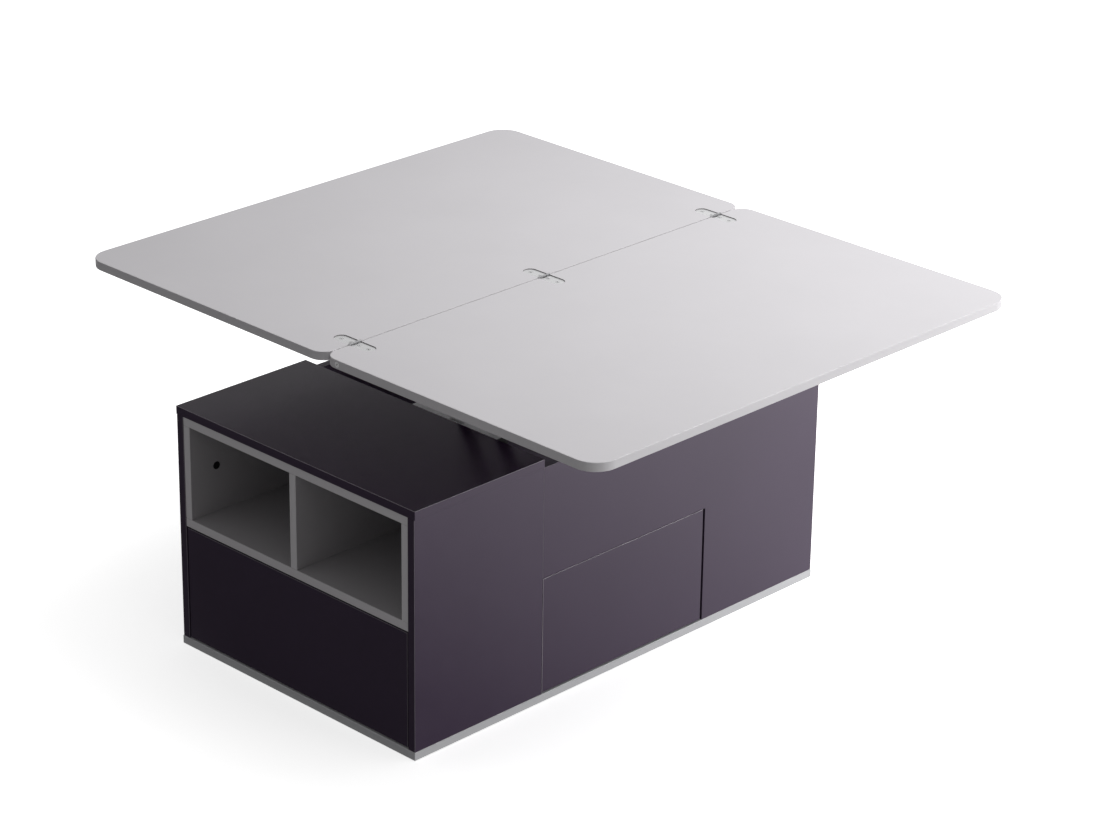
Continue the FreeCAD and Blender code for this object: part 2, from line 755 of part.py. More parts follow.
def left_leaf():
    """The leaf that folds over onto the other one."""
    pockets = [hinge_recess(-1, y) for _, y in HINGES]
    pilots = [hole for _, y in HINGES for hole in hinge_pilots(-1, y)]
    return cut(leaf_blank(-1), *pockets, *pilots)


def edge_plug(y, inward):
    """A round slotted plug, flush with the leaf's end."""
    low = y if inward > 0 else y - s.plug_depth
    slot_y = y if inward > 0 else y - s.plug_slot_depth
    body = rod("y", plug_x, low, plug_z, s.plug_dia, s.plug_depth)
    slot = box(plug_x - s.plug_slot_width / 2, slot_y, plug_z - s.plug_slot_length / 2,
               s.plug_slot_width, s.plug_slot_depth, s.plug_slot_length)
    return cut(body, slot)


def rest_pad(x, y):
    """A felt pad under the right leaf, which meets the near unit's top when the table is closed."""
    thick = s.pad_gap - s.pad_clear
    return rod("z", x + shift_x, y, leaf_z - thick, s.pad_dia, thick)


keep(right_leaf(), "right_leaf")
keep(left_leaf(), "left_leaf")
keep(grouped(*[edge_plug(y, inward) for y, inward in PLUGS]), "edge_plugs")
pad_x = half_width - s.pad_inset
keep(grouped(*[rest_pad(x, y) for x in (-pad_x, pad_x)
               for y in (near_y + s.pad_inset, split_y - s.pad_inset)]), "rest_pads")

# Check every object, then write one file for each sub-part
doc.recompute()
for obj in doc.Objects:
    if "Invalid" in obj.State or "Error" in obj.State:
        raise RuntimeError("%s (%s) failed: %s" % (obj.Name, obj.Label, obj.State))
for obj in PARTS:
    if obj.Shape.isNull() or not obj.Shape.isValid() or not obj.Shape.Solids:
        raise RuntimeError("%s has no valid shape" % obj.Label)

os.makedirs("parts", exist_ok=True)
for obj in PARTS:
    obj.Shape.exportStep("parts/%s.step" % obj.Label)
    print("%-24s %2d solids %14.1f mm3" % (obj.Label, len(obj.Shape.Solids), obj.Shape.Volume))
print("pivots: front %.2f %.2f rear %.2f %.2f" % tuple(
    value.value for value in (front_base_x, front_base_z, rear_base_x, rear_base_z)))
print("seam x %.2f, leaf underside %.2f, leaf top %.2f, fold axis %.2f" % tuple(
    value.value for value in (seam_x, leaf_z, leaf_top, fold_z)))
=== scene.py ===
import json
import math

import bmesh
import bpy
from bpy.props import FloatProperty, FloatVectorProperty, PointerProperty
from mathutils import Matrix, Vector


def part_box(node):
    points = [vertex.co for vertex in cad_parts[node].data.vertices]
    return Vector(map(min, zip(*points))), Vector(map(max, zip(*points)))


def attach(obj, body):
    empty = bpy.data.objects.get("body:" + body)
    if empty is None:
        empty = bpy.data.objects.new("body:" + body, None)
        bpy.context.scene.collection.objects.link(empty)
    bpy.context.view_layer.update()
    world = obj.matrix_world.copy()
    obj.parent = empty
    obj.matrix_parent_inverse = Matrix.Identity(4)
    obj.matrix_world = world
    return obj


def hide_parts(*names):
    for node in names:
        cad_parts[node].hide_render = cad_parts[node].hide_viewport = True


bl_info = {
    "name": "Convertible coffee dining table",
    "version": (1, 0, 0),
    "blender": (4, 5, 0),
    "location": "3D View > Sidebar > Table",
    "description": "Finishes, fixings, felt pads, end caps, stage and camera for the packed table",
    "category": "Object",
}

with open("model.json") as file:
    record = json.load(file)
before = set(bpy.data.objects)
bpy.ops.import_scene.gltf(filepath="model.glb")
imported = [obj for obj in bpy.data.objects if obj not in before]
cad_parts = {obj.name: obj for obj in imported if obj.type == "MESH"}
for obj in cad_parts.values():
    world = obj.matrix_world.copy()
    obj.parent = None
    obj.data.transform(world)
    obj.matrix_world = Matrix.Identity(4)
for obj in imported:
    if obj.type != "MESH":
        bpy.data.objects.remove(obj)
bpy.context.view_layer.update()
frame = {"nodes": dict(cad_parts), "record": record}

# CAD nodes by the material slot that the record gives them
NODES_OF = {}
for subpart in frame["record"]["subparts"]:
    NODES_OF.setdefault(subpart["material_slot"], []).append(subpart["node"])

# Levels between which most of a noise texture lies
NOISE_LEVELS = (0.3, 0.7)

# Parts of a unit normal between which a mask grows from nothing to full
ARRIS = (0.96, 0.82)
LOOKS_UP = (0.2, 0.5)
STANDS = (0.5, 0.2)
NOT_DOWN = (-0.5, -0.2)
RIM_FOOT = (0.25, 0.5)
RIM_CROWN = (0.99, 0.9)
LOOKS_NEAR = (-0.5, -0.9)
LEVEL = (0.9, 0.99)
NOT_LEVEL = (0.985, 0.95)
POCKET_WALL = (0.5, 0.3)
BARREL = (0.06, 0.2)

# Share of the painted highlight on an arris that a patchy noise leaves, from the weakest patch to the
# strongest
ARRIS_PATCHES = (0.75, 1.0)

# Laminates: bump of the pebble, with its depth in metres, play of the roughness, and the coat on arrises
PEBBLE_STRENGTH = 0.5
PEBBLE_DEPTH = 0.00004
PATCH_PLAY = 0.02
COAT_ROUGHNESS = 0.22

# Drawn metal: bump of the streaks, and how dark and light they are
STREAK_STRENGTH = 0.4
STREAK_LIGHTS = (0.9, 1.06)

# Moulded faces: bump of the grain, and play of the roughness
GRAIN_STRENGTH = 0.6
GRAIN_PLAY = (-0.05, 0.06)

# Seam between the leaves, in metres: how far its line of painted shade, and the painted shade on the hinge
# pockets' walls, reach on either side, and the end at each corner that stays pale, with its fade
SEAM_REACH = (0.0018, 0.0014)
POCKET_REACH = (0.048, 0.047)
PALE_CORNER = 0.03
CORNER_FADE = 0.003
# Strength of the seam's line of painted shade
SEAM_STRENGTH = 0.7

# Depths under an edge plug's crown between which painted shade turns its slot black, in metres
SLOT_SHADE_DEPTHS = (0.0008, 0.0012)

# Edges of the scene's own pieces that are sharper than this stay sharp
SHARP_ANGLE = math.radians(40.0)

# CAD points that are nearer to each other than this, in metres, are one point
WELD = 1e-6

# Turn from one screw's recess to the next, in radians, and the width of a recess's foot against its mouth
RECESS_TURN = 0.7
RECESS_TAPER = 0.7

# Soft lights: where each stands, the point that it faces, and its width and height, all in metres
SOFT_LIGHTS = {
    "overhead": ((0.85, 1.15, 2.7), (0.2, 0.1, 0.6), (2.3, 2.0)),
    "side": ((3.0, 0.6, 0.35), (0.3, 0.0, 0.25), (1.6, 0.6)),
    "far": ((1.35, 1.8, 0.30), (0.3, 0.3, 0.25), (1.2, 0.40)),
}

# In reflections the floor and the studio go from dark to white along a way, between two distances on it
MIRRORED_LEVELS = (0.03, 1.0)
FLOOR_WHITER = ((-0.3, 0.954, 0.0), (-0.45, 0.5))
STUDIO_WHITER = ((0.707, 0.707, 0.0), (-0.35, 0.45))

# How far the floor lies under the table, in metres
FLOOR_DROP = 0.0005

# The floor's glow to the camera, which grows between two distances from its middle, in metres
GLOW_REACH = (0.55, 1.5)
GLOW_LEVELS = (0.68, 1.0)

# Colour of the light that the floor throws back at the table
FLOOR_BOUNCE = (0.45, 0.45, 0.45)

# Width of the camera's sensor in millimetres
SENSOR_WIDTH = 36.0


def colour(name, description, default):
    """A colour that a user may change."""
    return FloatVectorProperty(name=name, description=description, subtype="COLOR", size=3,
                               min=0.0, max=1.0, default=default)


def share(name, description, default):
    """A share from 0 to 1 that a user may change."""
    return FloatProperty(name=name, description=description, subtype="FACTOR",
                         min=0.0, max=1.0, default=default)


def length(name, description, default):
    """A size in metres that a user may change."""
    return FloatProperty(name=name, description=description, unit="LENGTH", min=0.0, default=default)


def power(name, description, default):
    """A lamp's power in watts that a user may change."""
    return FloatProperty(name=name, description=description, unit="POWER", min=0.0, default=default)


class BoardSettings(bpy.types.PropertyGroup):
    """Colours and textures of the laminated boards."""
    dark: colour("Dark board", "Aubergine black of the carcass and the drawer fronts", (0.049, 0.0325, 0.061))
    dark_roughness: share("Dark roughness", "How matt the dark boards are", 0.40)
    # Painted highlight: the dark boards' arrises are paler, in this colour
    dark_arris_highlight: colour("Dark arris", "Paler line along the carcass's eased edges", (0.28, 0.26, 0.285))
    # Painted shade: the near unit's top face is darkened, and made more purple, by this share of the dark
    # boards' colour
    top_painted_shade: colour("Top depth", "Share of the dark boards' colour on the near unit's top face",
                      (0.51, 0.25, 0.54))
    top_polish: share("Top polish", "How much smoother the near unit's top face is", 0.15)
    leaf: colour("Leaf", "Light grey of the two leaves", (0.60, 0.585, 0.605))
    leaf_roughness: share("Leaf roughness", "How matt the leaves are", 0.52)
    leaf_rim: colour("Leaf rim", "Line along the rounded rims of the leaves", (0.60, 0.585, 0.605))
    # Painted shade in the seam between the leaves and on the hinge pockets' walls, in this colour
    core: colour("Leaf core", "Darker line along the seam and round the hinge pockets", (0.27, 0.26, 0.265))
    cubby: colour("Cubby", "Mid grey of the cubby insert", (0.39, 0.375, 0.39))
    cubby_front: colour("Cubby front", "Paler band on the insert's front edges", (0.61, 0.59, 0.61))
    # Painted shade: the insert's back is darkened by this share against its walls
    cubby_back: share("Cubby back", "Lightness of the insert's back against its walls", 0.66)
    plinth: colour("Plinth", "Silver grey of the base board", (0.60, 0.60, 0.62))
    drawer: colour("Drawer box", "Grey of the drawer boxes", (0.30, 0.295, 0.305))
    pebble: length("Pebble", "Size of the pebble that is pressed into the laminate", 0.0009)
    cloud: length("Cloud", "Size of the faint clouds in the laminate's colour", 0.16)


class HardwareSettings(bpy.types.PropertyGroup):
    """Colours of the metal, plastic, rubber and felt pieces, and the sizes of the end caps and felt pads."""
    powder: colour("Powder coat", "Pale grey paint of the lift's channels and brackets", (0.86, 0.865, 0.87))
    black_coat: colour("Black coat", "Satin black paint of the lift's arms and tubes", (0.022, 0.022, 0.024))
    zinc: colour("Zinc", "Bright zinc of runners, rivets and screws", (0.62, 0.63, 0.65))
    chrome: colour("Chrome", "Plating of the flush hinges", (0.86, 0.86, 0.87))
    barrel: colour("Barrel", "Darker plating of the hinges' barrels and bevels", (0.19, 0.19, 0.195))
    rubber: colour("Rubber", "Black of the lift's stops", (0.018, 0.018, 0.019))
    felt: colour("Felt", "Grey of the pads under the leaf", (0.16, 0.155, 0.155))
    black: colour("Black moulding", "Caps on the cubby's wall and the lift's channels", (0.010, 0.010, 0.011))
    grey: colour("Grey moulding", "Plugs in the leaf's edges", (0.93, 0.93, 0.935))
    cap: length("End cap", "Thickness of the caps on the lift's channels", 0.0014)
    pad_width: length("Pad width", "Width of a felt pad under the leaf", 0.020)


class StageSettings(bpy.types.PropertyGroup):
    """Floor, light and camera."""
    floor_span: length("Floor span", "Side of the square floor", 60.0)
    floor_colour: colour("Floor", "Pale grey of the floor", (0.90, 0.90, 0.90))
    ambient: share("Ambient", "Level of the even light from all round", 0.28)
    overhead_power: power("Overhead light", "Power of the soft light above the table", 69.0)
    side_power: power("Side light", "Power of the soft light at the drawer side", 25.0)
    far_power: power("Far light", "Power of the low light at the far corner", 12.0)
    lens: FloatProperty(name="Lens", description="Focal length on a 36 mm wide sensor", unit="CAMERA",
                        min=1.0, default=113.87)
    camera_place: FloatVectorProperty(name="Camera place", description="Where the camera stands",
                                      unit="LENGTH", subtype="TRANSLATION", size=3,
                                      default=(4.0295, -4.0029, 2.8529))
    camera_turn: FloatVectorProperty(name="Camera turn", description="Which way the camera looks",
                                     unit="ROTATION", subtype="EULER", size=3,
                                     default=tuple(math.radians(a) for a in (66.5706, -0.6956, 44.6917)))


def feed(socket, value):
    """Links a socket to another one, or sets its own value."""
    if isinstance(value, bpy.types.NodeSocket):
        socket.id_data.links.new(value, socket)
    else:
        socket.default_value = value


def worked(tree, operation, first, second=0.0):
    """One step of arithmetic on values that change over the surface."""
    step = tree.nodes.new("ShaderNodeMath")
    step.operation = operation
    feed(step.inputs[0], first)
    feed(step.inputs[1], second)
    return step.outputs[0]


def times(tree, first, second):
    """Two values multiplied."""
    return worked(tree, "MULTIPLY", first, second)


def unsigned(tree, value):
    """A value without its sign."""
    return worked(tree, "ABSOLUTE", value)


def ranged(tree, value, low, high, at_low, at_high):
    """A value moved from one range to another, and held at its ends."""
    step = tree.nodes.new("ShaderNodeMapRange")
    for place, number in enumerate((value, low, high, at_low, at_high)):
        feed(step.inputs[place], number)
    return step.outputs[0]


def rising(tree, value, start, full):
    """A mask that grows from 0 to 1 as a value goes from start to full, up or down."""
    return ranged(tree, value, start, full, 0.0, 1.0)


def spread(tree, value, at_low, at_high):
    """A noise moved from its usual levels to another range."""
    return ranged(tree, value, *NOISE_LEVELS, at_low, at_high)


def between(tree, part, first, second):
    """A colour between two, by a part that changes over the surface."""
    step = tree.nodes.new("ShaderNodeMix")
    step.data_type = "RGBA"
    # A mix of colours takes sockets 0, 6 and 7, and gives output 2
    for place, value in ((0, part), (6, first), (7, second)):
        feed(step.inputs[place], value)
    return step.outputs[2]


def noise(tree, where, scale, detail=2.0, roughness=0.5):
    """Soft noise at that many lumps to the metre."""
    step = tree.nodes.new("ShaderNodeTexNoise")
    for name, value in (("Vector", where), ("Scale", scale), ("Detail", detail), ("Roughness", roughness)):
        feed(step.inputs[name], value)
    return step.outputs[0]


def stretched(tree, vector, stretch):
    """A vector or a colour with each of its three parts made larger or smaller."""
    step = tree.nodes.new("ShaderNodeVectorMath")
    step.operation = "MULTIPLY"
    feed(step.inputs[0], vector)
    feed(step.inputs[1], stretch)
    return step.outputs[0]


def split(tree, vector):
    """The three parts of a vector."""
    step = tree.nodes.new("ShaderNodeSeparateXYZ")
    feed(step.inputs[0], vector)
    return step.outputs


def surface(tree):
    """Where a point of the surface lies in the table's frame, and which way the surface faces there."""
    place = tree.nodes.new("ShaderNodeTexCoord").outputs
    return place["Object"], place["Normal"]


def new_group(name, inputs, outputs):
    """An empty node group: its tree, the sockets that bring values in and those that take them out."""
    tree = bpy.data.node_groups.new(name, "ShaderNodeTree")
    for label, default in inputs.items():
        kind = "NodeSocketVector" if isinstance(default, tuple) else "NodeSocketFloat"
        tree.interface.new_socket(label, in_out="INPUT", socket_type=kind).default_value = default
    for label in outputs:
        tree.interface.new_socket(label, in_out="OUTPUT", socket_type="NodeSocketFloat")
    return tree, tree.nodes.new("NodeGroupInput").outputs, tree.nodes.new("NodeGroupOutput").inputs


def laminate_face():
    """Faint clouds, duller and shinier patches, and the pebble pressed into a laminate."""
    patches_to_cloud, fine_to_pebble, height = 5.0, 0.4, 0.6
    tree, given, out = new_group("laminate_face", {"Cloud Scale": 6.0, "Pebble Scale": 1100.0},
                                 ("Cloud", "Patch", "Pebble"))
    where, _ = surface(tree)
    feed(out["Cloud"], noise(tree, where, given["Cloud Scale"], detail=4.0, roughness=0.6))
    patches = times(tree, given["Cloud Scale"], patches_to_cloud)
    feed(out["Patch"], noise(tree, where, patches, detail=3.0, roughness=0.65))
    cells = tree.nodes.new("ShaderNodeTexVoronoi")
    cells.feature = "SMOOTH_F1"
    feed(cells.inputs["Vector"], where)
    feed(cells.inputs["Scale"], given["Pebble Scale"])
    fine = noise(tree, where, times(tree, given["Pebble Scale"], fine_to_pebble))
    coarse = times(tree, cells.outputs["Distance"], height)
    feed(out["Pebble"], worked(tree, "ADD", coarse, times(tree, fine, height)))
    return tree


def eased_edge():
    """Masks of a board's edges, where arrises get a painted highlight in patches: Edge is any arris, Upper
    one that looks up, Upright one that stands, Shown one that does not look down, Rim the rounded rim of a
    level board and Front the near faces."""
    tree, given, out = new_group("eased_edge", {"Rub Scale": 24.0},
                                 ("Edge", "Upper", "Upright", "Shown", "Rim", "Front"))
    where, normal = surface(tree)
    signed = split(tree, normal)
    flat = [unsigned(tree, part) for part in signed]
    square = worked(tree, "MAXIMUM", worked(tree, "MAXIMUM", flat[0], flat[1]), flat[2])
    # A patchy noise that breaks up the painted highlight on the arrises
    arris_patches = spread(tree, noise(tree, where, given["Rub Scale"], detail=3.0), *ARRIS_PATCHES)
    edge = times(tree, rising(tree, square, *ARRIS), arris_patches)
    feed(out["Edge"], edge)
    feed(out["Upper"], times(tree, edge, rising(tree, signed[2], *LOOKS_UP)))
    feed(out["Upright"], times(tree, edge, rising(tree, flat[2], *STANDS)))
    feed(out["Shown"], times(tree, edge, rising(tree, signed[2], *NOT_DOWN)))
    rim = times(tree, rising(tree, flat[2], *RIM_FOOT), rising(tree, flat[2], *RIM_CROWN))
    feed(out["Rim"], times(tree, rim, arris_patches))
    feed(out["Front"], rising(tree, signed[1], *LOOKS_NEAR))
    return tree


def drawn_metal():
    """Fine lines left by rolling or polishing, and the smudges of handling."""
    tree, given, out = new_group("drawn_metal", {"Stretch": (40.0, 900.0, 900.0), "Smudge Scale": 60.0},
                                 ("Streak", "Smudge"))
    where, _ = surface(tree)
    along = stretched(tree, where, given["Stretch"])
    feed(out["Streak"], noise(tree, along, 1.0, detail=3.0, roughness=0.6))
    feed(out["Smudge"], noise(tree, where, given["Smudge Scale"], detail=3.0, roughness=0.6))
    return tree


def moulded_face():
    """Fine grain of a moulded, sprayed or pressed surface, and slow changes over it."""
    cloud_to_grain = 0.03
    tree, given, out = new_group("moulded_face", {"Grain Scale": 1500.0}, ("Grain", "Cloud"))
    where, _ = surface(tree)
    feed(out["Grain"], noise(tree, where, given["Grain Scale"], detail=3.0, roughness=0.6))
    feed(out["Cloud"], noise(tree, where, times(tree, given["Grain Scale"], cloud_to_grain)))
    return tree


SHARED = {build.__name__: build for build in (laminate_face, eased_edge, drawn_metal, moulded_face)}


def placed(tree, group, **values):
    """A shared group set into a material with its own values; its outputs by name."""
    step = tree.nodes.new("ShaderNodeGroup")
    step.node_tree = bpy.data.node_groups.get(group) or SHARED[group]()
    for label, value in values.items():
        feed(step.inputs[label.replace("_", " ")], value)
    return step.outputs


def new_finish(name, **constants):
    """A material with its Principled shader; constants are set on the shader's own sockets."""
    material = bpy.data.materials.new(name)
    material.use_nodes = True
    tree = material.node_tree
    shader = tree.nodes["Principled BSDF"]
    for label, value in constants.items():
        shader.inputs[label.replace("_", " ")].default_value = value
    return material, tree, shader.inputs


def raised(tree, height, strength, depth):
    """A bumped normal from a height that changes over the surface; depth is in metres."""
    step = tree.nodes.new("ShaderNodeBump")
    feed(step.inputs["Strength"], strength)
    feed(step.inputs["Distance"], depth)
    feed(step.inputs["Height"], height)
    return step.outputs["Normal"]


def tinted(base, light=1.0):
    """A colour made lighter or darker, as a shader socket takes it."""
    return (*(min(1.0, part * light) for part in base[:3]), 1.0)


def mottled(tree, cloud, base, mottle):
    """A colour that a noise makes a little darker and lighter."""
    part = spread(tree, cloud, 0.0, 1.0)
    return between(tree, part, tinted(base, 1.0 - mottle), tinted(base, 1.0 + mottle))


def board_finish(name, base, edge, settings, roughness, gloss, mask="Edge", mottle=0.02, shine=0.0,
                 tint=(1.0, 1.0, 1.0)):
    """Laminate on board: faint clouds, fine pebble, uneven gloss and another tone where the mask lies."""
    material, tree, shader = new_finish(name, Specular_IOR_Level=gloss, Specular_Tint=tinted(tint),
                                        Coat_Roughness=COAT_ROUGHNESS)
    face = placed(tree, "laminate_face", Cloud_Scale=1.0 / settings.cloud,
                  Pebble_Scale=1.0 / settings.pebble)
    edges = placed(tree, "eased_edge")[mask]
    cloudy = mottled(tree, face["Cloud"], base, mottle)
    feed(shader["Base Color"], between(tree, edges, cloudy, tinted(edge)))
    feed(shader["Roughness"], spread(tree, face["Patch"], roughness - PATCH_PLAY, roughness + PATCH_PLAY))
    feed(shader["Normal"], raised(tree, face["Pebble"], PEBBLE_STRENGTH, PEBBLE_DEPTH))
    if shine:
        feed(shader["Coat Weight"], times(tree, edges, shine))
    return material


def metal_finish(name, base, stretch, dull, bright, depth, metallic=1.0):
    """Plated metal with drawn lines and smudged gloss."""
    material, tree, shader = new_finish(name, Metallic=metallic)
    drawn = placed(tree, "drawn_metal", Stretch=stretch)
    darker, lighter = (tinted(base, light) for light in STREAK_LIGHTS)
    feed(shader["Base Color"], between(tree, drawn["Streak"], darker, lighter))
    feed(shader["Roughness"], spread(tree, drawn["Smudge"], bright, dull))
    feed(shader["Normal"], raised(tree, drawn["Streak"], STREAK_STRENGTH, depth))
    return material


def moulded_finish(name, base, grain, roughness, depth, mottle=0.15, **constants):
    """Moulded plastic, rubber, powder coat or felt: grainy, with slow changes of tone."""
    material, tree, shader = new_finish(name, **constants)
    face = placed(tree, "moulded_face", Grain_Scale=1.0 / grain)
    tone = times(tree, worked(tree, "ADD", face["Cloud"], face["Grain"]), 0.5)
    feed(shader["Base Color"], mottled(tree, tone, base, mottle))
    feed(shader["Roughness"], spread(tree, face["Grain"], *(roughness + play for play in GRAIN_PLAY)))
    feed(shader["Normal"], raised(tree, face["Grain"], GRAIN_STRENGTH, depth))
    return material


def fed(material):
    """A finish's shader sockets, and what feeds its colour and its roughness."""
    shader = material.node_tree.nodes["Principled BSDF"].inputs
    tone, dull = (shader[name].links[0].from_socket for name in ("Base Color", "Roughness"))
    return shader, tone, dull


def overlaid(material, mask, tone, roughness):
    """Another tone and roughness over a finish, where the mask lies."""
    tree = material.node_tree
    shader, below, dull = fed(material)
    feed(shader["Base Color"], between(tree, mask, below, tinted(tone)))
    feed(shader["Roughness"], ranged(tree, mask, 0.0, 1.0, dull, roughness))


def painted_shade_and_polish(material, mask, depth, drop):
    """Painted shade as a deeper tone, and a smoother face, over a finish where the mask lies."""
    tree = material.node_tree
    shader, below, dull = fed(material)
    feed(shader["Base Color"], between(tree, mask, below, stretched(tree, below, tuple(depth))))
    feed(shader["Roughness"], worked(tree, "SUBTRACT", dull, times(tree, mask, drop)))


def dress(nodes, material):
    """Gives a finish to CAD nodes."""
    for name in nodes:
        frame["nodes"][name].material_slots[0].material = material


def boards(context):
    """The settings of the laminated boards."""
    return context.scene.table_boards


def hardware(context):
    """The settings of the hardware."""
    return context.scene.table_hardware


def facing_up(tree):
    """Where a surface looks straight up."""
    _, normal = surface(tree)
    return rising(tree, split(tree, normal)[2], *LEVEL)


class TABLE_OT_dark_boards(bpy.types.Operator):
    """Satin dark laminate on the carcass and the two drawer fronts, with painted highlights on their arrises
    and painted shade on the near unit's top face
    """
    bl_idname = "table.dark_boards"
    bl_label = "Dark boards"

    def execute(self, context):
        look = boards(context)
        # Each finish with its nodes, the arrises that get a painted highlight, and how much paler that
        # highlight is
        kinds = (("dark_satin_board", NODES_OF["dark_laminate"], "Edge", 1.0),
                 ("dark_satin_top", ("near_top",), "Upper", 1.7),
                 ("dark_satin_side", ("near_side_left", "near_side_right"), "Upright", 1.0),
                 ("dark_satin_drawer", ("side_drawer_front",), "Shown", 2.4))
        for name, nodes, mask, light in kinds:
            finish = board_finish(name, look.dark, tinted(look.dark_arris_highlight, light), look, look.dark_roughness,
                                  gloss=0.7, mask=mask, mottle=0.035, shine=0.35, tint=(0.97, 0.90, 1.0))
            dress(nodes, finish)
        # Painted shade on the near unit's top face: a deeper, more purple tone, with a smoother face
        top = bpy.data.materials["dark_satin_top"]
        painted_shade_and_polish(top, facing_up(top.node_tree), look.top_painted_shade, look.top_polish)
        return {"FINISHED"}


def seam_shade_mask(tree):
    """Where painted shade goes: along the leaves' seam and on the walls of the hinge pockets."""
    low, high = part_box("right_leaf")
    where, normal = surface(tree)
    across, along, _ = split(tree, where)
    facing = unsigned(tree, split(tree, normal)[2])
    beside = unsigned(tree, worked(tree, "SUBTRACT", across, low[0]))
    line = times(tree, rising(tree, beside, *SEAM_REACH), rising(tree, facing, *NOT_LEVEL))
    wall = times(tree, rising(tree, beside, *POCKET_REACH), rising(tree, facing, *POCKET_WALL))
    end = high[1] - PALE_CORNER
    inside = rising(tree, unsigned(tree, along), end, end - CORNER_FADE)
    return times(tree, worked(tree, "MAXIMUM", times(tree, line, SEAM_STRENGTH), wall), inside)


class TABLE_OT_leaves(bpy.types.Operator):
    """Matt light grey laminate on the two leaves"""
    bl_idname = "table.leaves"
    bl_label = "Leaves"

    def execute(self, context):
        look = boards(context)
        finish = board_finish("light_grey_leaf", look.leaf, look.leaf_rim, look, look.leaf_roughness,
                              gloss=0.3, mask="Rim", mottle=0.012)
        # Painted shade along the seam and on the hinge pockets' walls
        overlaid(finish, seam_shade_mask(finish.node_tree), look.core, roughness=0.75)
        dress(NODES_OF["leaf_laminate"], finish)
        return {"FINISHED"}


class TABLE_OT_cubbies(bpy.types.Operator):
    """Matt mid grey laminate on the cubby insert, with painted shade darkening its back"""
    bl_idname = "table.cubbies"
    bl_label = "Cubby insert"

    def execute(self, context):
        look = boards(context)
        walls = board_finish("mid_grey_cubby", look.cubby, look.cubby_front, look, roughness=0.55,
                             gloss=0.25, mask="Front")
        dress(NODES_OF["cubby_laminate"], walls)
        # Painted shade: the back is the walls' grey, darkened
        shaded = tinted(look.cubby, look.cubby_back)
        back = board_finish("mid_grey_cubby_back", shaded, shaded, look, roughness=0.55, gloss=0.25)
        dress(("cubby_back",), back)
        return {"FINISHED"}


class TABLE_OT_plinth(bpy.types.Operator):
    """Silver grey laminate on the base board"""
    bl_idname = "table.plinth"
    bl_label = "Plinth"

    def execute(self, context):
        look = boards(context)
        # Its paler arrises are a painted highlight
        finish = board_finish("silver_grey_plinth", look.plinth, tinted(look.plinth, light=1.1), look,
                              roughness=0.45, gloss=0.35)
        dress(NODES_OF["plinth_laminate"], finish)
        return {"FINISHED"}


class TABLE_OT_drawer_boxes(bpy.types.Operator):
    """Matt grey laminate on the drawer boxes, and zinc on their runners and the other fastenings"""
    bl_idname = "table.drawer_boxes"
    bl_label = "Drawer boxes"

    def execute(self, context):
        look, metal = boards(context), hardware(context)
        # Its paler arrises are a painted highlight
        box = board_finish("grey_drawer_box", look.drawer, tinted(look.drawer, light=1.15), look,
                           roughness=0.58, gloss=0.25)
        dress(NODES_OF["drawer_laminate"], box)
        zinc = metal_finish("bright_zinc", metal.zinc, stretch=(60.0, 60.0, 1400.0), dull=0.44, bright=0.28,
                            depth=0.00002)
        dress(NODES_OF["zinc_steel"], zinc)
        return {"FINISHED"}


class TABLE_OT_lift(bpy.types.Operator):
    """Pale paint on the lift's channels and brackets, black on its arms and tubes, and rubber on its stops"""
    bl_idname = "table.lift"
    bl_label = "Lift"

    def execute(self, context):
        metal = hardware(context)
        pale = moulded_finish("pale_powder_coat", metal.powder, grain=0.0011, roughness=0.42,
                              depth=0.00006, mottle=0.05)
        dress(NODES_OF["pale_steel"], pale)
        black = moulded_finish("black_powder_coat", metal.black_coat, grain=0.0011, roughness=0.40,
                               depth=0.00006, Specular_IOR_Level=0.35)
        dress(NODES_OF["black_steel"], black)
        rubber = moulded_finish("black_rubber", metal.rubber, grain=0.0006, roughness=0.68,
                                depth=0.00005, Specular_IOR_Level=0.3)
        dress(NODES_OF["buffer_rubber"], rubber)
        return {"FINISHED"}


class TABLE_OT_hinges(bpy.types.Operator):
    """Chrome on the flush hinges across the seam, darker on their barrels"""
    bl_idname = "table.hinges"
    bl_label = "Hinges"

    def execute(self, context):
        metal = hardware(context)
        finish = metal_finish("hinge_chrome_plate", metal.chrome, stretch=(300.0, 2600.0, 300.0), dull=0.34,
                              bright=0.22, depth=0.000004, metallic=0.5)
        tree = finish.node_tree
        _, normal = surface(tree)
        across = unsigned(tree, split(tree, normal)[0])
        overlaid(finish, rising(tree, across, *BARREL), metal.barrel, roughness=0.5)
        dress(NODES_OF["hinge_chrome"], finish)
        return {"FINISHED"}


class TABLE_OT_mouldings(bpy.types.Operator):
    """Plastic on the cubby's cap and on the plugs in the leaf's edges, with painted shade in the plugs' slots
    """
    bl_idname = "table.mouldings"
    bl_label = "Mouldings"

    def execute(self, context):
        metal = hardware(context)
        cap = moulded_finish("black_moulding", metal.black, grain=0.0004, roughness=0.75, depth=0.00003,
                             Specular_IOR_Level=0.2)
        dress(NODES_OF["black_plastic"], cap)
        plug = moulded_finish("grey_moulding", metal.grey, grain=0.0004, roughness=0.3, depth=0.00002,
                              mottle=0.04)
        tree, crown = plug.node_tree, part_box("edge_plugs")[1][1]
        where, _ = surface(tree)
        along = unsigned(tree, split(tree, where)[1])
        # Painted shade: the plug's slot turns black below a depth under its crown
        slot = rising(tree, along, *(crown - depth for depth in SLOT_SHADE_DEPTHS))
        overlaid(plug, slot, metal.black, roughness=0.5)
        dress(NODES_OF["grey_plastic"], plug)
        return {"FINISHED"}


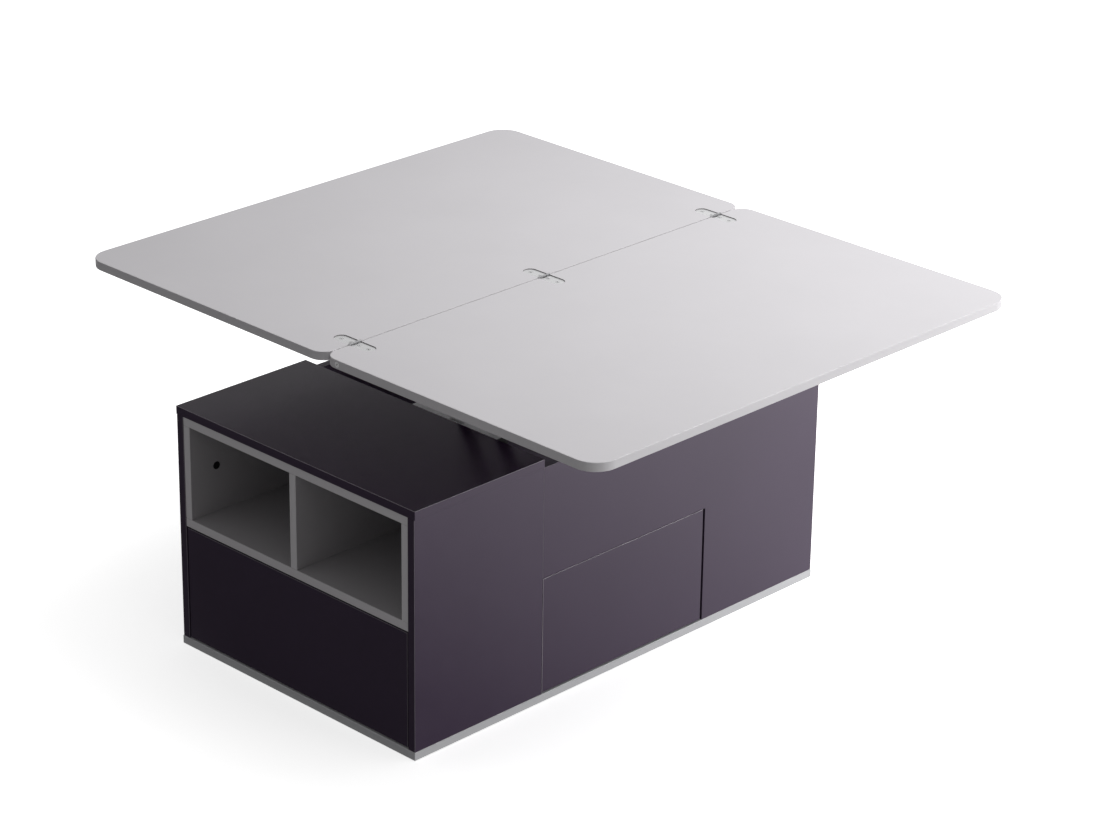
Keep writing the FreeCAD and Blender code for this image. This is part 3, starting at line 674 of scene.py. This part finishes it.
def as_piece(context, mesh, name, finish, body, node=None):
    """Makes a mesh into a piece that rides on a body, and may stand for a CAD node."""
    bmesh.ops.recalc_face_normals(mesh, faces=mesh.faces)
    shape = bpy.data.meshes.new(name)
    mesh.to_mesh(shape)
    mesh.free()
    shape.shade_smooth()
    shape.set_sharp_from_angle(angle=SHARP_ANGLE)
    shape.materials.append(finish)
    piece = bpy.data.objects.new(name, shape)
    context.scene.collection.objects.link(piece)
    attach(piece, body)
    if node:
        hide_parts(node)


def solids_of(node):
    """Lowest and highest corners of each separate solid in a CAD node, sorted by place."""
    mesh = bmesh.new()
    mesh.from_mesh(frame["nodes"][node].data)
    bmesh.ops.remove_doubles(mesh, verts=mesh.verts, dist=WELD)
    left, found = set(mesh.verts), []
    while left:
        reached = [left.pop()]
        for vert in reached:
            for edge in vert.link_edges:
                other = edge.other_vert(vert)
                if other in left:
                    left.discard(other)
                    reached.append(other)
        found.append([[end(vert.co[axis] for vert in reached) for axis in range(3)] for end in (min, max)])
    mesh.free()
    return [(Vector(low), Vector(high)) for low, high in sorted(found)]


def turned(mesh, profile, place, radius, around=36):
    """A turned form from pairs of a share of its radius and a height, foot first, set down by a matrix;
    gives its last ring."""
    rings = []
    for part, height in profile:
        reach, count = radius * part, around if part else 1
        angles = [math.tau * step / count for step in range(count)]
        points = [Vector((reach * math.cos(angle), reach * math.sin(angle), height)) for angle in angles]
        rings.append([mesh.verts.new(place @ point) for point in points])
    for lower, upper in zip(rings, rings[1:]):
        for step in range(around):
            after = (step + 1) % around
            corners = (lower[step % len(lower)], lower[after % len(lower)],
                       upper[after % len(upper)], upper[step % len(upper)])
            mesh.faces.new(tuple(dict.fromkeys(corners)))
    return rings[-1]


def sunk(mesh, rim, place, outline, depth):
    """Closes a flat crown inside its rim, with a recess of that outline and depth."""
    down = Vector((0.0, 0.0, depth))
    mouth = [mesh.verts.new(place @ point) for point in outline]
    foot = [mesh.verts.new(place @ (point * RECESS_TAPER - down)) for point in outline]
    edges = []
    for ring in (rim, mouth):
        for pair in zip(ring, ring[1:] + ring[:1]):
            edges.append(mesh.edges.get(pair) or mesh.edges.new(pair))
    bmesh.ops.triangle_fill(mesh, use_beauty=True, use_dissolve=False, edges=edges)
    for step, corner in enumerate(mouth):
        after = (step + 1) % len(mouth)
        mesh.faces.new((corner, mouth[after], foot[after], foot[step]))
    mesh.faces.new(foot)


def cross_outline(reach, width, turn):
    """Outline of a cross recess."""
    half = width / 2
    arm = [Vector((x, y, 0.0)) for x, y in ((reach, -half), (reach, half), (half, half))]
    spins = [Matrix.Rotation(turn + quarter * math.pi / 2, 4, "Z") for quarter in range(4)]
    return [spin @ point for spin in spins for point in arm]


def set_down(crown, way):
    """A matrix that puts a turned form's crown at a point, facing one way."""
    lean = Vector((0.0, 0.0, 1.0)).rotation_difference(way)
    return Matrix.Translation(crown) @ lean.to_matrix().to_4x4()


def countersunk_screw(mesh, place, radius, long, turn):
    """A flat-headed screw, flush in its plate."""
    profile = ((0.0, -long), (0.15, -long), (0.486, -long + 0.8 * radius), (0.486, -0.58 * radius),
               (0.985, -0.02 * radius), (0.95, 0.0))
    rim = turned(mesh, profile, place, radius)
    cross = cross_outline(reach=0.62 * radius, width=0.22 * radius, turn=turn)
    sunk(mesh, rim, place, cross, depth=0.36 * radius)


def pan_screw(mesh, place, radius, long, turn):
    """A screw with a low rounded head."""
    profile = ((0.0, -long), (0.1, -long), (0.467, -long + 0.7 * radius), (0.467, -0.667 * radius),
               (1.0, -0.667 * radius), (1.0, -0.36 * radius), (0.95, -0.2 * radius),
               (0.82, -0.07 * radius), (0.62, 0.0))
    rim = turned(mesh, profile, place, radius)
    cross = cross_outline(reach=0.5 * radius, width=0.19 * radius, turn=turn)
    sunk(mesh, rim, place, cross, depth=0.36 * radius)


def slotted_plug(mesh, place, radius, long, turn):
    """A round plug with a softened rim and a slot for a driver."""
    profile = ((0.0, -long), (0.94, -long), (1.0, -long + 0.08 * radius), (1.0, -0.12 * radius),
               (0.96, -0.03 * radius), (0.88, 0.0))
    rim = turned(mesh, profile, place, radius)
    corners, slant = ((0.5, -0.15), (0.5, 0.15), (-0.5, 0.15), (-0.5, -0.15)), math.radians(60.0)
    spin = Matrix.Rotation(slant + turn, 4, "Z")
    slot = [spin @ Vector((radius * x, radius * y, 0.0)) for x, y in corners]
    sunk(mesh, rim, place, slot, depth=0.7 * radius)


def domed_rivet(mesh, place, radius, long, turn):
    """A pivot rivet with a low dome at both ends, and the dimple of the riveting tool in its crown. It takes
    a turn as the other fixings do, but looks the same however it is turned."""
    dome = ((0.42, 0.0), (0.66, 0.035), (0.85, 0.11), (0.965, 0.21), (1.0, 0.29), (1.0, 0.353),
            (0.588, 0.353))
    foot = [(0.0, -long), *((part, -long + radius * up) for part, up in dome)]
    crown = [(part, -radius * up) for part, up in reversed(dome)]
    dimple = [(0.3, -0.03 * radius), (0.0, -0.09 * radius)]
    turned(mesh, foot + crown + dimple, place, radius)


def facing_of(way, middle):
    """The way that a fixing faces: as given, or level and by its sign away from the middle or towards it."""
    return Vector(way) if isinstance(way, tuple) else Vector((0.0, math.copysign(way, middle.y * way), 0.0))


class TABLE_OT_fixings(bpy.types.Operator):
    """Cross-headed screws, domed rivets and slotted edge plugs, in place of the plain CAD ones"""
    bl_idname = "table.fixings"
    bl_label = "Fixings"

    def execute(self, context):
        up, down, inward, outward = (0.0, 0.0, 1.0), (0.0, 0.0, -1.0), -1.0, 1.0
        # Each CAD node with its body, slot and finish, what makes its fixings, and the way that they face
        kinds = (
            ("hinge_screws_left", "fold_leaf", "hinge_chrome", "hinge_chrome_plate", countersunk_screw, up),
            ("hinge_screws_right", "top_frame", "hinge_chrome", "hinge_chrome_plate", countersunk_screw, up),
            ("bracket_screws", "top_frame", "zinc_steel", "bright_zinc", pan_screw, down),
            ("channel_screws", "base", "zinc_steel", "bright_zinc", pan_screw, inward),
            ("lower_rivets", "base", "zinc_steel", "bright_zinc", domed_rivet, inward),
            ("upper_rivets", "top_frame", "zinc_steel", "bright_zinc", domed_rivet, inward),
            ("edge_plugs", "top_frame", "grey_plastic", "grey_moulding", slotted_plug, outward),
        )
        for node, body, slot, finish, make, way in kinds:
            mesh = bmesh.new()
            for count, (low, high) in enumerate(solids_of(node)):
                middle, size = (low + high) / 2, high - low
                faces = facing_of(way, middle)
                long = abs(size.dot(faces))
                place = set_down(middle + faces * long / 2, faces)
                make(mesh, place, radius=size.x / 2, long=long, turn=RECESS_TURN * count)
            as_piece(context, mesh, node + "_turned", bpy.data.materials[finish], body, node)
        return {"FINISHED"}


class TABLE_OT_end_caps(bpy.types.Operator):
    """Black plastic caps on the open ends of the lift's channels"""
    bl_idname = "table.end_caps"
    bl_label = "End caps"

    def execute(self, context):
        thick, mesh = hardware(context).cap, bmesh.new()
        bevel = thick * 0.3
        for node in ("lift_channel_near", "lift_channel_far"):
            low, high = (Vector(corner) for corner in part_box(node))
            for x in (low.x - thick / 2, high.x + thick / 2):
                middle = Vector((x, (low.y + high.y) / 2, (low.z + high.z) / 2))
                stretch = Matrix.Diagonal((thick, high.y - low.y, high.z - low.z, 1.0))
                place = Matrix.Translation(middle) @ stretch
                made = bmesh.ops.create_cube(mesh, size=1.0, matrix=place)["verts"]
                edges = {edge for vert in made for edge in vert.link_edges}
                bmesh.ops.bevel(mesh, geom=list(edges), offset=bevel, segments=2, profile=0.5, affect="EDGES")
        finish = bpy.data.materials["black_moulding"]
        as_piece(context, mesh, "channel_end_caps", finish, "base")
        return {"FINISHED"}


class TABLE_OT_felt_pads(bpy.types.Operator):
    """Four pressed felt pads under the right leaf, in place of the CAD discs"""
    bl_idname = "table.felt_pads"
    bl_label = "Felt pads"

    def execute(self, context):
        metal = hardware(context)
        # Shares of a pad's radius and thickness, from its middle underneath to its upper edge
        section = ((0.0, 1.0), (0.5, 0.99), (0.8, 0.975), (0.93, 0.94), (0.975, 0.84), (1.0, 0.62),
                   (0.985, 0.4), (1.0, 0.0))
        downward = Matrix.Scale(-1.0, 4, (0.0, 0.0, 1.0))
        mesh = bmesh.new()
        for low, high in solids_of("rest_pads"):
            top = Vector(((low.x + high.x) / 2, (low.y + high.y) / 2, high.z))
            profile = [(part, (high.z - low.z) * drop) for part, drop in section]
            place = Matrix.Translation(top) @ downward
            mesh.faces.new(turned(mesh, profile, place, radius=metal.pad_width / 2, around=48))
        finish = moulded_finish("pressed_felt", metal.felt, grain=0.0005, roughness=0.93, depth=0.0002,
                                mottle=0.25, Specular_IOR_Level=0.1, Sheen_Weight=0.35)
        as_piece(context, mesh, "felt_pads", finish, "top_frame", "rest_pads")
        return {"FINISHED"}


def seen_rays(tree):
    """Two masks: the camera's own rays, and those that show the background in metal or through glass."""
    path = tree.nodes.new("ShaderNodeLightPath").outputs
    return path["Is Camera Ray"], worked(tree, "MAXIMUM", path["Is Glossy Ray"], path["Is Transmission Ray"])


def towards(tree, where, way, span):
    """How white the floor or the studio shows in reflections, by how far a place lies along a way."""
    step = tree.nodes.new("ShaderNodeVectorMath")
    step.operation = "DOT_PRODUCT"
    feed(step.inputs[0], where)
    feed(step.inputs[1], way)
    return ranged(tree, step.outputs["Value"], *span, *MIRRORED_LEVELS)


def mixed_shader(tree, part, first, second):
    """One shader turned into another by a part."""
    step = tree.nodes.new("ShaderNodeMixShader")
    for place, value in enumerate((part, first, second)):
        feed(step.inputs[place], value)
    return step.outputs[0]


def soft_light(name, place, aim, size, watts):
    """A soft box that faces a point."""
    lamp = bpy.data.lights.new(name, "AREA")
    lamp.shape = "RECTANGLE"
    lamp.size, lamp.size_y = size
    lamp.energy = watts
    light = bpy.data.objects.new(name, lamp)
    light.location = place
    light.rotation_euler = (Vector(aim) - Vector(place)).to_track_quat("-Z", "Y").to_euler()
    bpy.context.scene.collection.objects.link(light)


def floor_finish(base):
    """A pale floor that the camera sees near white, with the table's shadow, and sees through from below."""
    material = bpy.data.materials.new("pale_floor")
    material.use_nodes = True
    tree = material.node_tree
    tree.nodes.clear()
    matt, bounce = (tree.nodes.new("ShaderNodeBsdfDiffuse") for _ in range(2))
    matt.inputs["Color"].default_value = tinted(base)
    bounce.inputs["Color"].default_value = tinted(FLOOR_BOUNCE)
    white, mirrored = (tree.nodes.new("ShaderNodeEmission") for _ in range(2))
    where, _ = surface(tree)
    reach = tree.nodes.new("ShaderNodeVectorMath")
    reach.operation = "LENGTH"
    feed(reach.inputs[0], where)
    feed(white.inputs["Strength"], ranged(tree, reach.outputs["Value"], *GLOW_REACH, *GLOW_LEVELS))
    feed(mirrored.inputs["Strength"], towards(tree, where, *FLOOR_WHITER))
    seen = tree.nodes.new("ShaderNodeAddShader")
    feed(seen.inputs[0], matt.outputs[0])
    feed(seen.inputs[1], white.outputs[0])
    camera, glossy = seen_rays(tree)
    lit = mixed_shader(tree, camera, bounce.outputs[0], seen.outputs[0])
    above = mixed_shader(tree, glossy, lit, mirrored.outputs[0])
    below = tree.nodes.new("ShaderNodeNewGeometry").outputs["Backfacing"]
    clear = tree.nodes.new("ShaderNodeBsdfTransparent")
    out = tree.nodes.new("ShaderNodeOutputMaterial")
    feed(out.inputs["Surface"], mixed_shader(tree, below, above, clear.outputs[0]))
    return material


def studio_world(level):
    """Even light from all round, white to the camera, and in reflections whitest at the far right."""
    world = bpy.data.worlds.new("studio")
    world.use_nodes = True
    tree = world.node_tree
    tree.nodes.clear()
    even, white, mirrored = (tree.nodes.new("ShaderNodeBackground") for _ in range(3))
    even.inputs["Strength"].default_value = level
    where = tree.nodes.new("ShaderNodeTexCoord").outputs["Generated"]
    feed(mirrored.inputs["Strength"], towards(tree, where, *STUDIO_WHITER))
    for back in (even, white, mirrored):
        back.inputs["Color"].default_value = (1.0, 1.0, 1.0, 1.0)
    camera, glossy = seen_rays(tree)
    lit = mixed_shader(tree, camera, even.outputs[0], white.outputs[0])
    out = tree.nodes.new("ShaderNodeOutputWorld")
    feed(out.inputs["Surface"], mixed_shader(tree, glossy, lit, mirrored.outputs[0]))
    return world


class TABLE_OT_stage(bpy.types.Operator):
    """Pale floor, soft light from above, from the drawer side and from the far corner, and the camera"""
    bl_idname = "table.stage"
    bl_label = "Stage"

    def execute(self, context):
        scene, stage = context.scene, context.scene.table_stage
        mesh = bmesh.new()
        bmesh.ops.create_grid(mesh, x_segments=1, y_segments=1, size=stage.floor_span / 2,
                              matrix=Matrix.Translation((0.0, 0.0, -FLOOR_DROP)))
        shape = bpy.data.meshes.new("floor")
        mesh.to_mesh(shape)
        mesh.free()
        floor = bpy.data.objects.new("floor", shape)
        floor.data.materials.append(floor_finish(stage.floor_colour))
        scene.collection.objects.link(floor)
        scene.world = studio_world(stage.ambient)
        for name, (place, aim, size) in SOFT_LIGHTS.items():
            soft_light(name + "_light", place, aim, size, getattr(stage, name + "_power"))
        lens = bpy.data.cameras.new("camera")
        lens.sensor_width, lens.lens = SENSOR_WIDTH, stage.lens
        camera = bpy.data.objects.new("camera", lens)
        camera.location, camera.rotation_euler = stage.camera_place, stage.camera_turn
        scene.collection.objects.link(camera)
        scene.camera = camera
        scene.view_settings.view_transform = "Standard"
        return {"FINISHED"}


class TABLE_PT_looks(bpy.types.Panel):
    """The table's looks, piece by piece"""
    bl_idname = "TABLE_PT_looks"
    bl_label = "Coffee dining table"
    bl_space_type = "VIEW_3D"
    bl_region_type = "UI"
    bl_category = "Table"

    def draw(self, context):
        for operator in OPERATORS:
            self.layout.operator(operator.bl_idname)
        for group in (getattr(context.scene, name) for name in SETTINGS):
            box = self.layout.box()
            for name in group.__annotations__:
                box.prop(group, name)


SETTINGS = {"table_boards": BoardSettings, "table_hardware": HardwareSettings, "table_stage": StageSettings}
OPERATORS = (TABLE_OT_dark_boards, TABLE_OT_leaves, TABLE_OT_cubbies, TABLE_OT_plinth, TABLE_OT_drawer_boxes,
             TABLE_OT_lift, TABLE_OT_hinges, TABLE_OT_mouldings, TABLE_OT_fixings, TABLE_OT_end_caps,
             TABLE_OT_felt_pads, TABLE_OT_stage)


def register():
    for made in (*SETTINGS.values(), *OPERATORS, TABLE_PT_looks):
        bpy.utils.register_class(made)
    for name, group in SETTINGS.items():
        setattr(bpy.types.Scene, name, PointerProperty(type=group))


def unregister():
    for name in SETTINGS:
        delattr(bpy.types.Scene, name)
    for made in (TABLE_PT_looks, *reversed(OPERATORS), *SETTINGS.values()):
        bpy.utils.unregister_class(made)


def main():
    register()
    bpy.ops.table.dark_boards()
    bpy.ops.table.leaves()
    bpy.ops.table.cubbies()
    bpy.ops.table.plinth()
    bpy.ops.table.drawer_boxes()
    bpy.ops.table.lift()
    bpy.ops.table.hinges()
    bpy.ops.table.mouldings()
    bpy.ops.table.fixings()
    bpy.ops.table.end_caps()
    bpy.ops.table.felt_pads()
    bpy.ops.table.stage()


if __name__ == "__main__":
    main()
